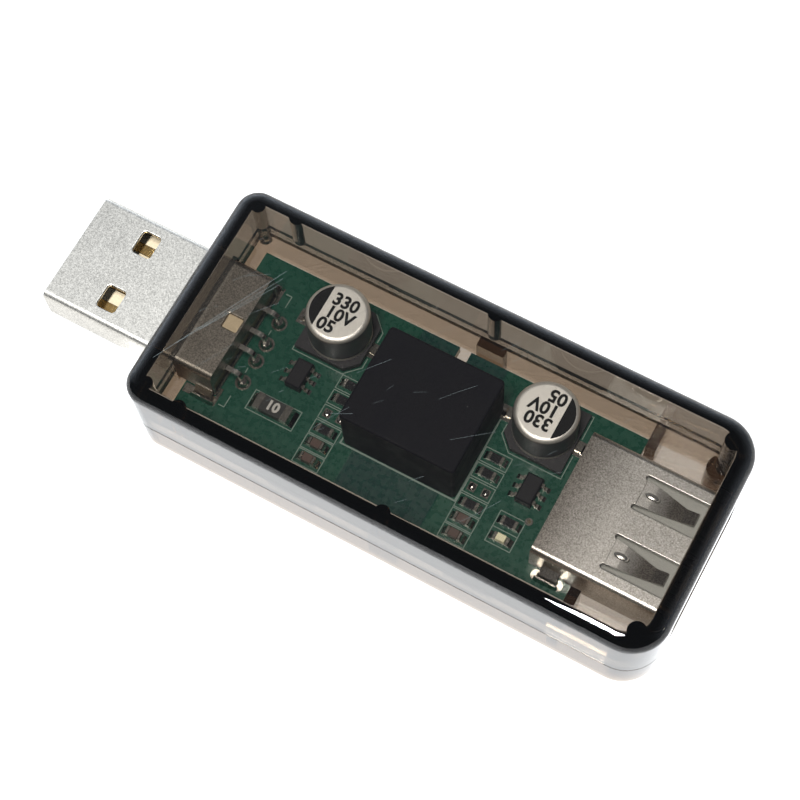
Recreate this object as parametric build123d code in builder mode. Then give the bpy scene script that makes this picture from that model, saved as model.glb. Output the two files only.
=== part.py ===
"""USB isolator adapter: a plug and a socket on one circuit board inside a clear snap-together case.

Millimetres, +Z up. The origin is the centre of the underside of the case.
+X runs from the plug to the socket, +Y to the side of the case with the two capacitors.
"""
import os

from build123d import *

os.makedirs("parts", exist_ok=True)

# ---- case -----------------------------------------------------------------------------------
CASE_L, CASE_W, CASE_H = 54.5, 24.2, 13.0
R_PLUG_END, R_SOCKET_END = 2.3, 3.8   # plan corner radii
END_WALL, SIDE_WALL = 1.8, 1.5
FLOOR_T, COVER_T = 1.2, 0.6
SPLIT_Z = 5.3                     # joint between the two shells
LIP_T, LIP_H, LIP_GAP = 0.65, 2.3, 0.1
SEAM_H, SEAM_D = 0.1, 0.3         # shadow line round the joint
TOP_FILLET, BOTTOM_FILLET = 1.4, 1.0
CAV_L = CASE_L - 2 * END_WALL
CAV_W = CASE_W - 2 * SIDE_WALL
LIP_TOP = SPLIT_Z + LIP_H
COVER_Z = CASE_H - COVER_T        # underside of the cover
RIB_X = (-21.2, 0.1)              # wall ribs
RIB_R, RIB_IN = 0.8, 0.45         # their radius and how far they stand in
SNAP_X, SNAP_L = 9.15, 4.7        # snap ridges on the lip
POST_X, POST_Y, POST_R = 24.35, 9.6, 1.25
BOSSES = ((24.75, 9.9, 0.93), (-25.1, 10.25, 0.7))    # x, y, radius, mirrored in Y

# ---- board ----------------------------------------------------------------------------------
PCB_X0, PCB_X1, PCB_W = -24.8, 17.2, 19.2
PCB_T, PCB_TOP = 1.2, 3.8
PCB_BOT = PCB_TOP - PCB_T
PCB_L = PCB_X1 - PCB_X0
PCB_CX = (PCB_X0 + PCB_X1) / 2
ISO_X, ISO_W = -2.4, 1.25         # routed isolation slot
ISO_END = 1.0
LAND_T = 0.04
TAIL_Z = 1.75                     # soldered pin ends under the board

# ---- plug -----------------------------------------------------------------------------------
PLUG_X0, PLUG_X1 = -40.3, -21.4
PLUG_W, PLUG_H, PLUG_T = 12.0, 4.5, 0.3
PLUG_Z = PCB_TOP + PLUG_H / 2
PLUG_HOLE_X = PLUG_X0 + 6.16      # latch holes, centre
PIN_Y = (3.5, 1.0, -1.0, -3.5)
PLUG_PIN_X = -19.8
CONTACT_Z = PLUG_Z - 0.1          # top of the plug contacts
TAIL_W, TAIL_T = 0.5, 0.3
PLUG_LEG_X = -22.5

# ---- socket ---------------------------------------------------------------------------------
SOCK_X0, SOCK_X1 = 12.75, 26.9
SOCK_W, SOCK_H, SOCK_T = 13.1, 5.74, 0.3
SOCK_Z = 5.0
SOCK_TOP = SOCK_Z + SOCK_H / 2
SOCK_BOT = SOCK_Z - SOCK_H / 2
SOCK_PIN_X = 14.3
SOCK_LEG_X, SOCK_LEG_Y = 15.0, 7.15
SOCK_FLOOR_X = 16.55              # the floor of the shell starts here, the board ends before it
SPRING_ROOT_X, SPRING_TIP_X = 19.2, 24.75
SPRING_Y = 3.18                   # centre line of each retention spring
ROOT_HALF, SLOT_R = 1.33, 0.225    # half width of a spring at its root, end radius of its slots
WINDOW_W, WINDOW_END_X = 2 * ROOT_HALF + 4 * SLOT_R, 25.6
SEAM = 0.04                       # hinge seam at the root of each spring
RIDGE_X, RIDGE_DROP = 23.55, 0.62
TONGUE_TOP, TONGUE_BOT = SOCK_Z + 1.85, SOCK_Z
BEAM_ROOT_X = 18.0

# ---- parts on the board ---------------------------------------------------------------------
CONV_X, CONV_Y = -2.28, 0.82
CONV_L, CONV_W, CONV_H = 12.05, 10.25, 7.1
CANS = ((-13.85, 5.28, 1), (8.16, 5.65, -1))     # x, y, side of the chamfered corners
CAN_D, CAN_TOP, CAN_BASE, CAN_BASE_H = 6.3, 5.5, 6.6, 0.9
ESD = ((-15.2, -0.45), (9.65, -0.4))
FUSE_X, FUSE_Y = -15.75, -4.6
CHIP_XL, CHIP_XR = -10.3, 5.4
ROW_Y = (1.0, -0.72, -2.45, -4.15, -5.8, -7.45)
RESISTORS = tuple((x, ROW_Y[i]) for x in (CHIP_XL, CHIP_XR) for i in (0, 1, 3)) + ((9.45, -4.05),)
CERAMICS = tuple((x, ROW_Y[i]) for x in (CHIP_XL, CHIP_XR) for i in (4, 5))
BARE = tuple((x, ROW_Y[2]) for x in (CHIP_XL, CHIP_XR))
LED_X, LED_Y = 9.45, -5.75
ISOL_X, ISOL_Y = -2.4, -5.4       # isolator chip, under the board
CONV_PINS = tuple((CONV_X + sx * 4.6, CONV_Y + dy) for sx in (1, -1) for dy in (3.6, -1.9))


def save(builder, label):
    """Label one finished sub-part and write it."""
    builder.part.label = label
    export_step(builder.part, f"parts/{label}.step")


def plan(grow_x, grow_y, z):
    """Outline of the cavity grown by those margins, as a face at height z."""
    with BuildSketch(Plane.XY.offset(z)) as outline:
        Rectangle(CAV_L + 2 * grow_x, CAV_W + 2 * grow_y)
        fillet(outline.vertices().group_by(Axis.X)[0], max(R_PLUG_END - SIDE_WALL + grow_y, 0.3))
        fillet(outline.vertices().group_by(Axis.X)[-1], R_SOCKET_END - SIDE_WALL + grow_y)
    return outline.sketch


# ---- lower shell ----------------------------------------------------------------------------
with BuildPart() as case_bottom:
    extrude(plan(END_WALL, SIDE_WALL, 0), amount=SPLIT_Z)
    fillet(case_bottom.edges().group_by(Axis.Z)[0], BOTTOM_FILLET)
    rim = plan(END_WALL, SIDE_WALL, SPLIT_Z - SEAM_H)
    core = plan(END_WALL - SEAM_D, SIDE_WALL - SEAM_D, SPLIT_Z - SEAM_H)
    extrude(rim - core, amount=1, mode=Mode.SUBTRACT)
    extrude(plan(LIP_T, LIP_T, SPLIT_Z - 0.5), amount=0.5 + LIP_H)
    extrude(plan(0, 0, FLOOR_T), amount=CASE_H, mode=Mode.SUBTRACT)
    # snap ridges on the outer face of the lip
    for side in (1, -1):
        for x in (-SNAP_X, SNAP_X):
            y = side * (CAV_W / 2 + LIP_T + 0.03)
            with Locations((x, y, LIP_TOP - 0.5)):
                Box(SNAP_L, 0.26, 0.4)
    # locating blocks at the sides of the board
    for side in (1, -1):
        with BuildSketch(Plane.XY.offset(FLOOR_T - 0.1)):
            with Locations((RIB_X[1], side * (CAV_W / 2 - 0.3))):
                Rectangle(2.9, 1.1)
        extrude(amount=5.9 - FLOOR_T + 0.1)
    # stops behind the socket end of the board
    for side, inner in ((1, 8.1), (-1, 7.2)):
        length = CAV_W / 2 + 0.2 - inner
        with BuildSketch(Plane.XY.offset(FLOOR_T - 0.1)):
            with Locations((17.9, side * (inner + length / 2))):
                Rectangle(1.05, length)
        extrude(amount=5.9 - FLOOR_T + 0.1)
    # pads that carry the board
    for x, y in ((-23.6, 8.6), (-23.6, -8.6), (-12.0, 8.9), (-12.0, -8.9), (8.5, 8.9),
                 (8.5, -8.9), (16.3, 8.8), (16.3, -8.8)):
        with BuildSketch(Plane.XY.offset(FLOOR_T - 0.1)):
            with Locations((x, y)):
                Circle(0.8)
        extrude(amount=PCB_BOT - FLOOR_T + 0.1)
    # posts in the corners at the socket end
    for side in (1, -1):
        with BuildSketch(Plane.XY.offset(FLOOR_T - 0.1)):
            with Locations((POST_X, side * POST_Y)):
                Circle(POST_R)
            add(plan(0.2, 0.2, FLOOR_T - 0.1), mode=Mode.INTERSECT)
        extrude(amount=SPLIT_Z - FLOOR_T)
    # openings for the plug and the socket
    with BuildSketch(Plane.XY.offset(PLUG_Z - PLUG_H / 2 - 0.1)):
        with Locations((-CASE_L / 2, 0)):
            Rectangle(5, PLUG_W + 0.24)
    extrude(amount=CASE_H, mode=Mode.SUBTRACT)
    with BuildSketch(Plane.XY.offset(SOCK_BOT - 0.1)):
        with Locations((CASE_L / 2, 0)):
            Rectangle(4.4, SOCK_W + 0.24)
    extrude(amount=CASE_H, mode=Mode.SUBTRACT)
save(case_bottom, "case_bottom")

# ---- upper shell ----------------------------------------------------------------------------
with BuildPart() as case_top:
    extrude(plan(END_WALL, SIDE_WALL, SPLIT_Z), amount=CASE_H - SPLIT_Z)
    fillet(case_top.edges().group_by(Axis.Z)[-1], TOP_FILLET)
    chamfer(case_top.edges().group_by(Axis.Z)[0], 0.1)
    extrude(plan(0, 0, SPLIT_Z - 1), amount=COVER_Z - SPLIT_Z + 1, mode=Mode.SUBTRACT)
    ceiling = case_top.edges().filter_by_position(Axis.Z, COVER_Z - 0.01, COVER_Z + 0.01)
    fillet(ceiling, 0.12)
    extrude(plan(LIP_T + LIP_GAP, LIP_T + LIP_GAP, SPLIT_Z - 1), amount=LIP_H + LIP_GAP + 1,
            mode=Mode.SUBTRACT)
    # grooves the snap ridges click into
    for side in (1, -1):
        for x in (-SNAP_X, SNAP_X):
            y = side * (CAV_W / 2 + LIP_T + 0.11)
            with Locations((x, y, LIP_TOP - 0.5)):
                Box(SNAP_L + 0.3, 0.3, 0.56, mode=Mode.SUBTRACT)
    # rounded ribs on the side walls
    for x in RIB_X:
        for side in (1, -1):
            with BuildSketch(Plane.XY.offset(LIP_TOP + 0.3)):
                with Locations((x, side * (CAV_W / 2 + RIB_R - RIB_IN))):
                    Circle(RIB_R)
                Rectangle(CASE_L, CAV_W + 0.6, mode=Mode.INTERSECT)
            extrude(amount=COVER_Z + 0.1 - LIP_TOP - 0.3)
    # corner bosses hanging from the cover, trimmed to stay inside the lip
    for x, y, radius in BOSSES:
        for side in (1, -1):
            with BuildSketch(Plane.XY.offset(SPLIT_Z + 0.2)):
                with Locations((x, side * y)):
                    Circle(radius)
                add(plan(-0.1, -0.1, SPLIT_Z + 0.2), mode=Mode.INTERSECT)
            extrude(amount=LIP_TOP + 0.3 - SPLIT_Z - 0.2)
            with BuildSketch(Plane.XY.offset(LIP_TOP + 0.3)):
                with Locations((x, side * y)):
                    Circle(radius)
                add(plan(0.2, 0.2, LIP_TOP + 0.3), mode=Mode.INTERSECT)
            extrude(amount=COVER_Z + 0.1 - LIP_TOP - 0.3)
    with BuildSketch(Plane.XY.offset(SPLIT_Z - 1)):
        with Locations((-CASE_L / 2, 0)):
            Rectangle(5, PLUG_W + 0.24)
    extrude(amount=PLUG_Z + PLUG_H / 2 + 0.1 - SPLIT_Z + 1, mode=Mode.SUBTRACT)
    with BuildSketch(Plane.XY.offset(SPLIT_Z - 1)):
        with Locations((CASE_L / 2, 0)):
            Rectangle(4.4, SOCK_W + 0.24)
    extrude(amount=SOCK_TOP + 0.1 - SPLIT_Z + 1, mode=Mode.SUBTRACT)
save(case_top, "case_top")

# ---- circuit board --------------------------------------------------------------------------
with BuildPart() as circuit_board:
    with BuildSketch(Plane.XY.offset(PCB_BOT)):
        with Locations((PCB_CX, 0)):
            Rectangle(PCB_L, PCB_W)
        with Locations((PCB_X1, 0)):
            Rectangle(2 * (PCB_X1 - 16.4), SOCK_W + 0.2, mode=Mode.SUBTRACT)
        with Locations((ISO_X, (PCB_W / 2 + ISO_END) / 2 + 1)):
            Rectangle(ISO_W, PCB_W / 2 - ISO_END + 2, mode=Mode.SUBTRACT)
        with Locations([(x, y) for x in (PLUG_PIN_X, SOCK_PIN_X) for y in PIN_Y]):
            Circle(0.46, mode=Mode.SUBTRACT)
        with Locations((PLUG_LEG_X, 6.4), (PLUG_LEG_X, -6.4)):
            Rectangle(2.2, 0.6, mode=Mode.SUBTRACT)
        with Locations((SOCK_LEG_X, SOCK_LEG_Y), (SOCK_LEG_X, -SOCK_LEG_Y)):
            Rectangle(2.1, 0.5, mode=Mode.SUBTRACT)
        with Locations(CONV_PINS):
            Circle(0.4, mode=Mode.SUBTRACT)
        with Locations((10.98, -3.0)):
            Circle(0.2, mode=Mode.SUBTRACT)
    extrude(amount=PCB_T)
save(circuit_board, "circuit_board")

# ---- tinned lands on the board --------------------------------------------------------------
with BuildPart() as board_lands:
    with BuildSketch(Plane.XY.offset(PCB_TOP)):
        with Locations([(PLUG_PIN_X, y) for y in PIN_Y]):
            Circle(0.8)
            Circle(0.46, mode=Mode.SUBTRACT)
        with Locations((10.98, -3.0)):
            Circle(0.38)
            Circle(0.2, mode=Mode.SUBTRACT)
        with Locations([(x + s * 0.72, y) for x, y in BARE for s in (1, -1)]):
            Rectangle(0.8, 0.9)
        with Locations((PLUG_LEG_X - 0.35, 6.0), (PLUG_LEG_X - 0.35, -6.0)):
            Rectangle(3.6, 1.95)
        with Locations((PLUG_X1 - 5, 0)):
            Rectangle(10.04, PLUG_W + 0.04, mode=Mode.SUBTRACT)
        with Locations((PLUG_LEG_X, 6.4), (PLUG_LEG_X, -6.4)):
            Rectangle(2.2, 0.6, mode=Mode.SUBTRACT)
        with Locations((SOCK_LEG_X, SOCK_LEG_Y + 0.1), (SOCK_LEG_X, -SOCK_LEG_Y - 0.1)):
            RectangleRounded(3.2, 1.1, 0.5)
        with Locations((SOCK_LEG_X, SOCK_LEG_Y), (SOCK_LEG_X, -SOCK_LEG_Y)):
            Rectangle(2.1, 0.5, mode=Mode.SUBTRACT)
        with Locations([(x + s * 3.95, y) for x, y, _ in CANS for s in (1, -1)]):
            Rectangle(1.5, 1.6)
    extrude(amount=LAND_T)
save(board_lands, "board_lands")

# ---- plug shell -----------------------------------------------------------------------------
with BuildPart() as plug_shell:
    with BuildSketch(Plane.YZ.offset(PLUG_X0)):
        with Locations((0, PLUG_Z)):
            RectangleRounded(PLUG_W, PLUG_H, 0.6)
            RectangleRounded(PLUG_W - 2 * PLUG_T, PLUG_H - 2 * PLUG_T, 0.3, mode=Mode.SUBTRACT)
    extrude(amount=PLUG_X1 - PLUG_X0)
    with BuildSketch(Plane.XY.offset(PLUG_Z - PLUG_H)):
        with Locations((PLUG_HOLE_X, 3.25), (PLUG_HOLE_X, -3.25)):
            RectangleRounded(2.0, 2.5, 0.35)
    extrude(amount=2 * PLUG_H, mode=Mode.SUBTRACT)
    with BuildSketch(Plane.XY.offset(PLUG_Z)):
        with Locations((-22.45, 0)):
            RectangleRounded(1.6, 1.55, 0.15)
    extrude(amount=PLUG_H, mode=Mode.SUBTRACT)
    # rolled edges of the holes in the top
    top = PLUG_Z + PLUG_H / 2
    rims = [e for e in plug_shell.edges().filter_by_position(Axis.Z, top - 0.01, top + 0.01)
            if abs(e.center().Y) < 4.8 and (abs(e.center().X - PLUG_HOLE_X) < 1.4
                                            or abs(e.center().X + 22.45) < 0.95)]
    fillet(rims, 0.13)
    # rear wall, folded down as far as the contacts
    with BuildSketch(Plane.XY.offset(CONTACT_Z + 0.15)):
        with Locations((PLUG_X1 - 0.14, 0)):
            Rectangle(0.28, PLUG_W - PLUG_T)
    extrude(amount=top - CONTACT_Z - 0.35)
    # soldered legs: out from the side wall, then down through the board
    for side in (1, -1):
        with BuildSketch(Plane.YZ.offset(PLUG_LEG_X - 0.9)):
            with BuildLine():
                Polyline((side * 5.85, PLUG_Z - 0.9), (side * 6.1, PLUG_Z - 0.9),
                         (side * 6.55, PCB_TOP + 0.55), (side * 6.55, TAIL_Z),
                         (side * 6.25, TAIL_Z), (side * 6.25, PCB_TOP + 0.45),
                         (side * 5.85, PCB_TOP + 0.9), close=True)
            make_face()
        extrude(amount=1.8)
save(plug_shell, "plug_shell")

# ---- plug insulator -------------------------------------------------------------------------
with BuildPart() as plug_insulator:
    floor_z = PLUG_Z - PLUG_H / 2 + PLUG_T
    with BuildSketch(Plane.XY.offset(floor_z)):
        with Locations(((PLUG_X0 + 0.7 - 28.0) / 2, 0)):
            Rectangle(-28.0 - PLUG_X0 - 0.7, PLUG_W - 2 * PLUG_T - 0.5)
    extrude(amount=CONTACT_Z - floor_z)
    with BuildSketch(Plane.YZ.offset(-28.0)):
        with Locations((0, PLUG_Z)):
            RectangleRounded(PLUG_W - 2 * PLUG_T - 0.04, PLUG_H - 2 * PLUG_T - 0.04, 0.3)
    extrude(amount=PLUG_X1 - 0.3 + 28.0)
    # grooves for the contacts
    for y in PIN_Y:
        with BuildSketch(Plane.XY.offset(CONTACT_Z - 0.32)):
            with Locations(((PLUG_X0 + 1.0 - 28.0) / 2, y)):
                Rectangle(-28.0 - PLUG_X0 - 1.0, 1.1)
        extrude(amount=0.33, mode=Mode.SUBTRACT)
        with BuildSketch(Plane.XY.offset(CONTACT_Z - 0.32)):
            with Locations(((-28.0 + PLUG_X1) / 2, y)):
                Rectangle(PLUG_X1 + 28.0 + 0.2, 1.1)
        extrude(amount=0.35, mode=Mode.SUBTRACT)
save(plug_insulator, "plug_insulator")

# ---- plug contacts --------------------------------------------------------------------------
with BuildPart() as plug_contacts:
    for y in PIN_Y:
        with BuildSketch(Plane.XY.offset(CONTACT_Z - TAIL_T)):
            front = PLUG_X0 + (1.1 if abs(y) > 2 else 2.1)
            with Locations(((front - 22.2) / 2, y)):
                Rectangle(-22.2 - front, 1.0)
        extrude(amount=TAIL_T)
        with BuildSketch(Plane.XZ.offset(-y - TAIL_W / 2)):
            with BuildLine():
                bend = 0.8
                top = CONTACT_Z
                x = PLUG_PIN_X + TAIL_T / 2
                Line((-22.3, top), (x - bend, top))
                CenterArc((x - bend, top - bend), bend, 90, -90)
                Line((x, top - bend), (x, TAIL_Z))
                Line((x, TAIL_Z), (x - TAIL_T, TAIL_Z))
                Line((x - TAIL_T, TAIL_Z), (x - TAIL_T, top - bend))
                CenterArc((x - bend, top - bend), bend - TAIL_T, 0, 90)
                Line((x - bend, top - TAIL_T), (-22.3, top - TAIL_T))
                Line((-22.3, top - TAIL_T), (-22.3, top))
            make_face()
        extrude(amount=TAIL_W)
save(plug_contacts, "plug_contacts")

# ---- socket shell ---------------------------------------------------------------------------
with BuildPart() as socket_shell:
    with BuildSketch(Plane.YZ.offset(SOCK_X0)):
        with Locations((0, SOCK_Z)):
            RectangleRounded(SOCK_W, SOCK_H, 0.55)
            RectangleRounded(SOCK_W - 2 * SOCK_T, SOCK_H - 2 * SOCK_T, 0.25, mode=Mode.SUBTRACT)
    extrude(amount=SOCK_X1 - SOCK_X0)
    # the rear part ends above the board
    with BuildSketch(Plane.XY.offset(SOCK_BOT - 1)):
        with Locations(((SOCK_X0 - 1 + SOCK_FLOOR_X) / 2, 0)):
            Rectangle(SOCK_FLOOR_X - SOCK_X0 + 1, SOCK_W + 1)
    extrude(amount=PCB_TOP + 0.06 - SOCK_BOT + 1, mode=Mode.SUBTRACT)
    # rear flap folded down from the top
    with BuildSketch(Plane.XY.offset(PCB_TOP + 0.06)):
        with Locations((SOCK_X0 + SOCK_T / 2, 0)):
            Rectangle(SOCK_T, SOCK_W - 2.4)
    extrude(amount=SOCK_TOP - SOCK_T / 2 - PCB_TOP - 0.06)
    # windows round the retention springs, top and bottom
    for z in (SOCK_TOP, SOCK_BOT):
        for side in (1, -1):
            with BuildSketch(Plane.XY.offset(z - 0.5)):
                with Locations(((SPRING_ROOT_X + WINDOW_END_X) / 2, side * SPRING_Y)):
                    Rectangle(WINDOW_END_X - SPRING_ROOT_X, WINDOW_W)
                with Locations([(SPRING_ROOT_X, side * SPRING_Y + s * (WINDOW_W / 2 - SLOT_R))
                                for s in (1, -1)]):
                    Circle(SLOT_R)
            extrude(amount=1.0, mode=Mode.SUBTRACT)
    # rolled edges along the windows in the top
    sides = [e for e in socket_shell.edges().filter_by_position(Axis.Z, SOCK_TOP - 0.01, SOCK_TOP + 0.01)
             if SPRING_ROOT_X + 0.1 < e.center().X < WINDOW_END_X - 0.1 and abs(e.center().Y) < 5.5]
    fillet(sides, 0.09)
    for side in (1, -1):
        with BuildSketch(Plane.YZ.offset(SOCK_LEG_X - 0.9)):
            with BuildLine():
                inner = SOCK_LEG_Y - 0.15
                outer = SOCK_LEG_Y + 0.15
                Polyline((side * 6.3, 5.3), (side * 6.55, 5.3), (side * outer, 4.75),
                         (side * outer, TAIL_Z), (side * inner, TAIL_Z), (side * inner, 4.6),
                         (side * 6.3, 4.85), close=True)
            make_face()
        extrude(amount=1.8)
save(socket_shell, "socket_shell")

# ---- socket insulator -----------------------------------------------------------------------
with BuildPart() as socket_insulator:
    with BuildSketch(Plane.XY.offset(PCB_TOP + 0.06)):
        with Locations(((SOCK_X0 + 0.35 + 17.0) / 2, 0)):
            Rectangle(17.0 - SOCK_X0 - 0.35, SOCK_W - 2 * SOCK_T - 0.5)
    extrude(amount=SOCK_TOP - SOCK_T - 0.03 - PCB_TOP - 0.06)
    with BuildSketch(Plane.XY.offset(TONGUE_BOT)):
        with Locations(((16.9 + 25.9) / 2, 0)):
            Rectangle(25.9 - 16.9, 11.1)
    extrude(amount=TONGUE_TOP - TONGUE_BOT)
    tongue_front = socket_insulator.edges().filter_by(Axis.Y).sort_by(Axis.X)[-2:]
    chamfer(tongue_front, 0.3)
    for y in PIN_Y:
        with BuildSketch(Plane.XY.offset(TONGUE_BOT - 1.3)):
            with Locations(((13.9 + 17.96) / 2, y)):
                Rectangle(17.96 - 13.9, 1.16)
        extrude(amount=1.3 + 0.45, mode=Mode.SUBTRACT)
        with BuildSketch(Plane.XY.offset(TONGUE_BOT - 0.1)):
            with Locations(((17.9 + 25.4) / 2, y)):
                Rectangle(25.4 - 17.9, 1.16)
        extrude(amount=1.05, mode=Mode.SUBTRACT)
save(socket_insulator, "socket_insulator")

# ---- socket contact tails (fixed) -----------------------------------------------------------
with BuildPart() as socket_contact_tails:
    for y in PIN_Y:
        with BuildSketch(Plane.XZ.offset(-y - 0.5)):
            with BuildLine():
                Polyline((BEAM_ROOT_X - SEAM, 5.4), (SOCK_PIN_X - 0.15, 5.4), (SOCK_PIN_X - 0.15, 4.0),
                         (SOCK_PIN_X + 0.05, 4.0), (SOCK_PIN_X + 0.05, 5.2),
                         (BEAM_ROOT_X - SEAM, 5.2), close=True)
            make_face()
        extrude(amount=1.0)
        with BuildSketch(Plane.XY.offset(TAIL_Z)):
            with Locations((SOCK_PIN_X - 0.05, y)):
                Rectangle(0.2, 0.6)
        extrude(amount=4.1 - TAIL_Z)
save(socket_contact_tails, "socket_contact_tails")

# ---- socket contact beams (sprung) ----------------------------------------------------------
with BuildPart() as socket_contact_beams:
    for y in PIN_Y:
        with BuildSketch(Plane.XZ.offset(-y - 0.5)):
            with BuildLine():
                Polyline((BEAM_ROOT_X, 5.4), (23.6, 4.83), (25.1, 5.4), (25.1, 5.18),
                         (23.62, 4.6), (BEAM_ROOT_X, 5.2), close=True)
            make_face()
        extrude(amount=1.0)
save(socket_contact_beams, "socket_contact_beams")


# ---- socket retention springs ---------------------------------------------------------------
def spring(label, face, side):
    """One shell spring: face is 1 for the top wall and -1 for the bottom, side is the sign of Y."""
    skin = SOCK_Z + face * SOCK_H / 2
    with BuildPart() as leaf:
        with BuildSketch(Plane.XZ.offset(-side * SPRING_Y - ROOT_HALF)):
            with BuildLine():
                Polyline((SPRING_ROOT_X + SEAM, skin), (SPRING_ROOT_X + 1.2, skin - face * 0.06),
                         (RIDGE_X, skin - face * RIDGE_DROP),
                         (SPRING_TIP_X, skin - face * 0.12),
                         (SPRING_TIP_X + 0.06, skin - face * 0.41),
                         (RIDGE_X, skin - face * (RIDGE_DROP + 0.3)),
                         (SPRING_ROOT_X + 1.2, skin - face * 0.36),
                         (SPRING_ROOT_X + SEAM, skin - face * 0.3), close=True)
            make_face()
        extrude(amount=2 * ROOT_HALF)
        # tapered plan
        with BuildSketch(Plane.XY.offset(SOCK_Z - 5)):
            with BuildLine():
                y0 = side * SPRING_Y
                Polyline((SPRING_ROOT_X, y0 - ROOT_HALF), (SPRING_ROOT_X + 1.9, y0 - 1.08),
                         (RIDGE_X, y0 - 0.68), (SPRING_TIP_X + 0.2, y0 - 0.62),
                         (SPRING_TIP_X + 0.2, y0 + 0.62), (RIDGE_X, y0 + 0.68),
                         (SPRING_ROOT_X + 1.9, y0 + 1.08), (SPRING_ROOT_X, y0 + ROOT_HALF),
                         close=True)
            make_face()
        extrude(amount=10, mode=Mode.INTERSECT)
        # stiffening dimple near the root
        with BuildSketch(Plane.XY.offset(skin - face * 0.25)):
            with Locations((SPRING_ROOT_X + 1.05, side * SPRING_Y)):
                SlotOverall(1.8, 0.75)
        extrude(amount=face * 0.3, taper=25)
    save(leaf, label)


spring("spring_top_far", 1, 1)
spring("spring_top_near", 1, -1)
spring("spring_bottom_far", -1, 1)
spring("spring_bottom_near", -1, -1)

# ---- converter ------------------------------------------------------------------------------
with BuildPart() as converter_case:
    with BuildSketch(Plane.XY.offset(PCB_TOP + 0.02)):
        with Locations((CONV_X, CONV_Y)):
            RectangleRounded(CONV_L, CONV_W, 0.4)
    extrude(amount=CONV_H)
    fillet(converter_case.edges().group_by(Axis.Z)[-1], 0.25)
    with BuildSketch(Plane.XY.offset(PCB_TOP)):
        with Locations((CONV_X, CONV_Y)):
            Rectangle(CONV_L - 1.2, CONV_W - 1.2)
    extrude(amount=CONV_H - 0.6, mode=Mode.SUBTRACT)
save(converter_case, "converter_case")

with BuildPart() as converter_potting:
    with BuildSketch(Plane.XY.offset(PCB_TOP + 0.3)):
        with Locations((CONV_X, CONV_Y)):
            Rectangle(CONV_L - 1.2, CONV_W - 1.2)
    extrude(amount=CONV_H - 0.9)
    with BuildSketch(Plane.XY.offset(PCB_TOP)):
        with Locations(CONV_PINS):
            Rectangle(0.5, 0.3)
    extrude(amount=1.5, mode=Mode.SUBTRACT)
save(converter_potting, "converter_potting")

with BuildPart() as converter_pins:
    with BuildSketch(Plane.XY.offset(TAIL_Z)):
        with Locations(CONV_PINS):
            Rectangle(0.5, 0.3)
    extrude(amount=PCB_TOP + 1.5 - TAIL_Z)
save(converter_pins, "converter_pins")

# ---- electrolytic capacitors ----------------------------------------------------------------
with BuildPart() as capacitor_cans:
    for x, y, _ in CANS:
        with BuildSketch(Plane.XZ.offset(-y)):
            with BuildLine():
                base = PCB_TOP + CAN_BASE_H
                top = PCB_TOP + CAN_TOP
                r = CAN_D / 2
                Line((x, top), (x + r - 0.55, top))
                RadiusArc((x + r - 0.55, top), (x + r, top - 0.55), 0.55)
                Line((x + r, top - 0.55), (x + r, base + 0.85))
                Line((x + r, base + 0.85), (x + r - 0.12, base + 0.65))
                Line((x + r - 0.12, base + 0.65), (x + r - 0.12, base + 0.35))
                Line((x + r - 0.12, base + 0.35), (x + r, base + 0.15))
                Line((x + r, base + 0.15), (x + r, base))
                Line((x + r, base), (x + r - 0.35, base))
                Line((x + r - 0.35, base), (x + r - 0.35, top - 0.3))
                Line((x + r - 0.35, top - 0.3), (x, top - 0.3))
                Line((x, top - 0.3), (x, top))
            make_face()
        revolve(axis=Axis((x, y, 0), (0, 0, 1)))
save(capacitor_cans, "capacitor_cans")

with BuildPart() as capacitor_bungs:
    with BuildSketch(Plane.XY.offset(PCB_TOP + CAN_BASE_H)):
        with Locations([(x, y) for x, y, _ in CANS]):
            Circle(CAN_D / 2 - 0.36)
    extrude(amount=1.2)
save(capacitor_bungs, "capacitor_bungs")

with BuildPart() as capacitor_bases:
    for x, y, side in CANS:
        half = CAN_BASE / 2
        cut = 1.25
        with BuildSketch(Plane.XY.offset(PCB_TOP + 0.25)):
            with BuildLine():
                Polyline((x - side * half, y - half), (x + side * (half - cut), y - half),
                         (x + side * half, y - half + cut), (x + side * half, y + half - cut),
                         (x + side * (half - cut), y + half), (x - side * half, y + half), close=True)
            make_face()
        extrude(amount=CAN_BASE_H - 0.25)
        with BuildSketch(Plane.XY.offset(PCB_TOP + LAND_T)):
            with Locations((x, y + 2.2), (x, y - 2.2)):
                Rectangle(5.2, 1.2)
        extrude(amount=0.25)
save(capacitor_bases, "capacitor_bases")

with BuildPart() as capacitor_leads:
    for x, y, _ in CANS:
        for s in (1, -1):
            with BuildSketch(Plane.XY.offset(PCB_TOP + LAND_T)):
                with Locations((x + s * 2.3, y)):
                    Rectangle(3.4, 0.7)
            extrude(amount=0.2)
save(capacitor_leads, "capacitor_leads")


# ---- small surface-mount parts --------------------------------------------------------------
def gull_wing(x, s, reach, z_top, z_foot, thick):
    """Outline of one lead in XZ: x is the body side, s the outward sign, reach the foot end."""
    knee = x + s * reach * 0.42
    end = x + s * reach
    return ((x, z_top), (knee, z_top), (knee + s * 0.12, z_foot + thick), (end, z_foot + thick),
            (end, z_foot), (knee, z_foot), (knee - s * 0.08, z_top - thick), (x, z_top - thick))


FOOT_Z = PCB_TOP + 0.05
with BuildPart() as esd_bodies:
    with BuildSketch(Plane.XY.offset(PCB_TOP + 0.12)):
        with Locations(ESD):
            Rectangle(1.65, 2.9)
    extrude(amount=1.05)
    chamfer(esd_bodies.edges().group_by(Axis.Z)[-1], 0.12)
save(esd_bodies, "esd_bodies")

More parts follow.
